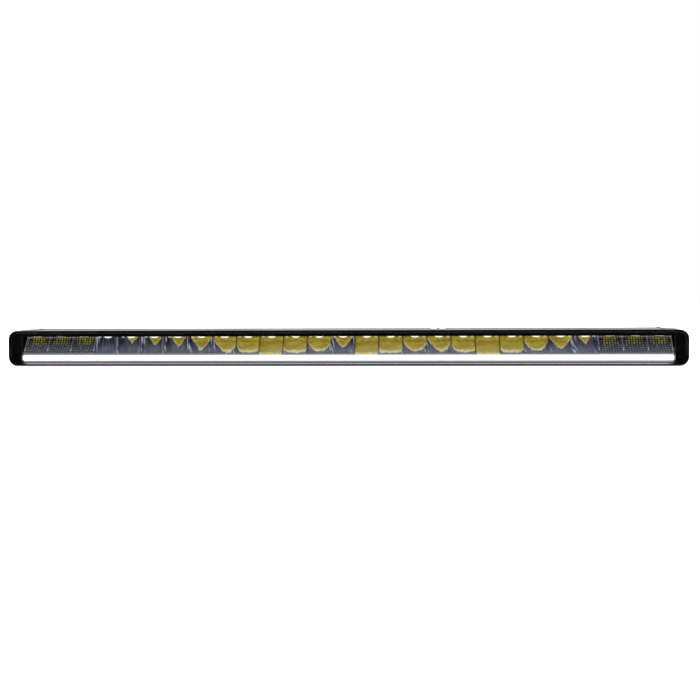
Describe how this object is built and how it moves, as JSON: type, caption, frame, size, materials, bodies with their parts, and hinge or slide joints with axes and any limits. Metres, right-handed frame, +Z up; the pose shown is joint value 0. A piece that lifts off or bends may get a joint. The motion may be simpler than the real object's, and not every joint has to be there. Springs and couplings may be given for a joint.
{
  "type": "led light bar",
  "caption": "Long slim single-row driving light with spot and flood reflectors over a lit position-light strip, on sliding and tilting rear feet.",
  "frame": {"origin": "middle of the whole light's underside, feet included, level with the bottom edge of the bezel", "axes": "+X along the bar to the right as seen from the front, -Y is the way the light shines, +Z up"},
  "size_m": [1.06, 0.116, 0.0583],
  "materials": {
    "bezel_black": "satin black powder coat on a die-cast frame",
    "lens_clear": "clear hard-coated polycarbonate, gloss",
    "seal_rubber": "matte black silicone",
    "trim_black": "gloss black moulding",
    "housing_anodised": "black anodised extrusion with fine draw lines",
    "cap_black": "black powder coat on die-cast aluminium",
    "screw_black": "black oxide steel",
    "reflector_metallised": "vacuum metallised plastic, bright",
    "board_white": "white solder mask on an aluminium board",
    "pad_grey": "soft grey thermal pad",
    "light_source": "yellow phosphor under a clear dome on a white ceramic base",
    "screw_steel": "zinc-plated steel",
    "opal_lit": "opal light guide, lit white",
    "tray_white": "white reflective moulding",
    "board_green": "green solder mask",
    "spacer_brass": "turned brass",
    "part_grey": "dark moulded electronic parts",
    "can_aluminium": "bright aluminium cans",
    "gland_black": "black glass-filled nylon",
    "bracket_steel": "stainless steel",
    "lug_black": "black powder coat",
    "foot_black": "black powder coat"
  },
  "bodies": {
    "bar": {"bezel_gasket": "seal_rubber", "bezel_screws": "screw_black", "driver_board": "board_green", "driver_capacitors": "can_aluminium", "driver_chips": "part_grey", "driver_inductors": "part_grey", "driver_screws": "screw_steel", "driver_spacers": "spacer_brass", "end_cap_left": "cap_black", "end_cap_right": "cap_black", "end_cap_screws": "screw_black", "end_gasket_left": "seal_rubber", "end_gasket_right": "seal_rubber", "flood_leds": "light_source", "flood_left_board": "board_white", "flood_left_reflector": "reflector_metallised", "flood_right_board": "board_white", "flood_right_reflector": "reflector_metallised", "front_bezel": "bezel_black", "front_lens": "lens_clear", "gland_body": "gland_black", "gland_cap": "gland_black", "gland_nut": "gland_black", "gland_seal": "seal_rubber", "gland_washer": "seal_rubber", "housing": "housing_anodised", "inner_trim": "trim_black", "lens_seal": "seal_rubber", "optic_screws": "screw_steel", "position_light_board": "board_white", "position_light_guide": "opal_lit", "position_light_leds": "light_source", "position_light_tray": "tray_white", "pressure_vent": "gland_black", "spot_leds": "light_source", "spot_left_board": "board_white", "spot_left_reflector": "reflector_metallised", "spot_middle_board": "board_white", "spot_middle_reflector": "reflector_metallised", "spot_right_board": "board_white", "spot_right_reflector": "reflector_metallised", "thermal_pads": "pad_grey"},
    "slider_left": {"t_nut_left": "bracket_steel", "pivot_lug_left": "lug_black", "lug_screws_left": "screw_black"},
    "foot_left": {"bracket_foot_left": "foot_black", "pivot_bolt_left": "bracket_steel", "pivot_nut_left": "bracket_steel", "pivot_washers_left": "bracket_steel"},
    "slider_right": {"t_nut_right": "bracket_steel", "pivot_lug_right": "lug_black", "lug_screws_right": "screw_black"},
    "foot_right": {"bracket_foot_right": "foot_black", "pivot_bolt_right": "bracket_steel", "pivot_nut_right": "bracket_steel", "pivot_washers_right": "bracket_steel"}
  },
  "joints": [
    {"name": "bracket_slide_left", "type": "slide", "parent": "bar", "child": "slider_left", "axis": [1, 0, 0], "range_m": [-0.165, 0.12]},
    {"name": "tilt_left", "type": "hinge", "parent": "slider_left", "child": "foot_left", "pos_m": [-0.3, 0.022, 0.028], "axis": [1, 0, 0], "range_deg": [-30, 30]},
    {"name": "bracket_slide_right", "type": "slide", "parent": "bar", "child": "slider_right", "axis": [1, 0, 0], "range_m": [-0.12, 0.165]},
    {"name": "tilt_right", "type": "hinge", "parent": "slider_right", "child": "foot_right", "pos_m": [0.3, 0.022, 0.028], "axis": [1, 0, 0], "range_deg": [-30, 30]}
  ]
}
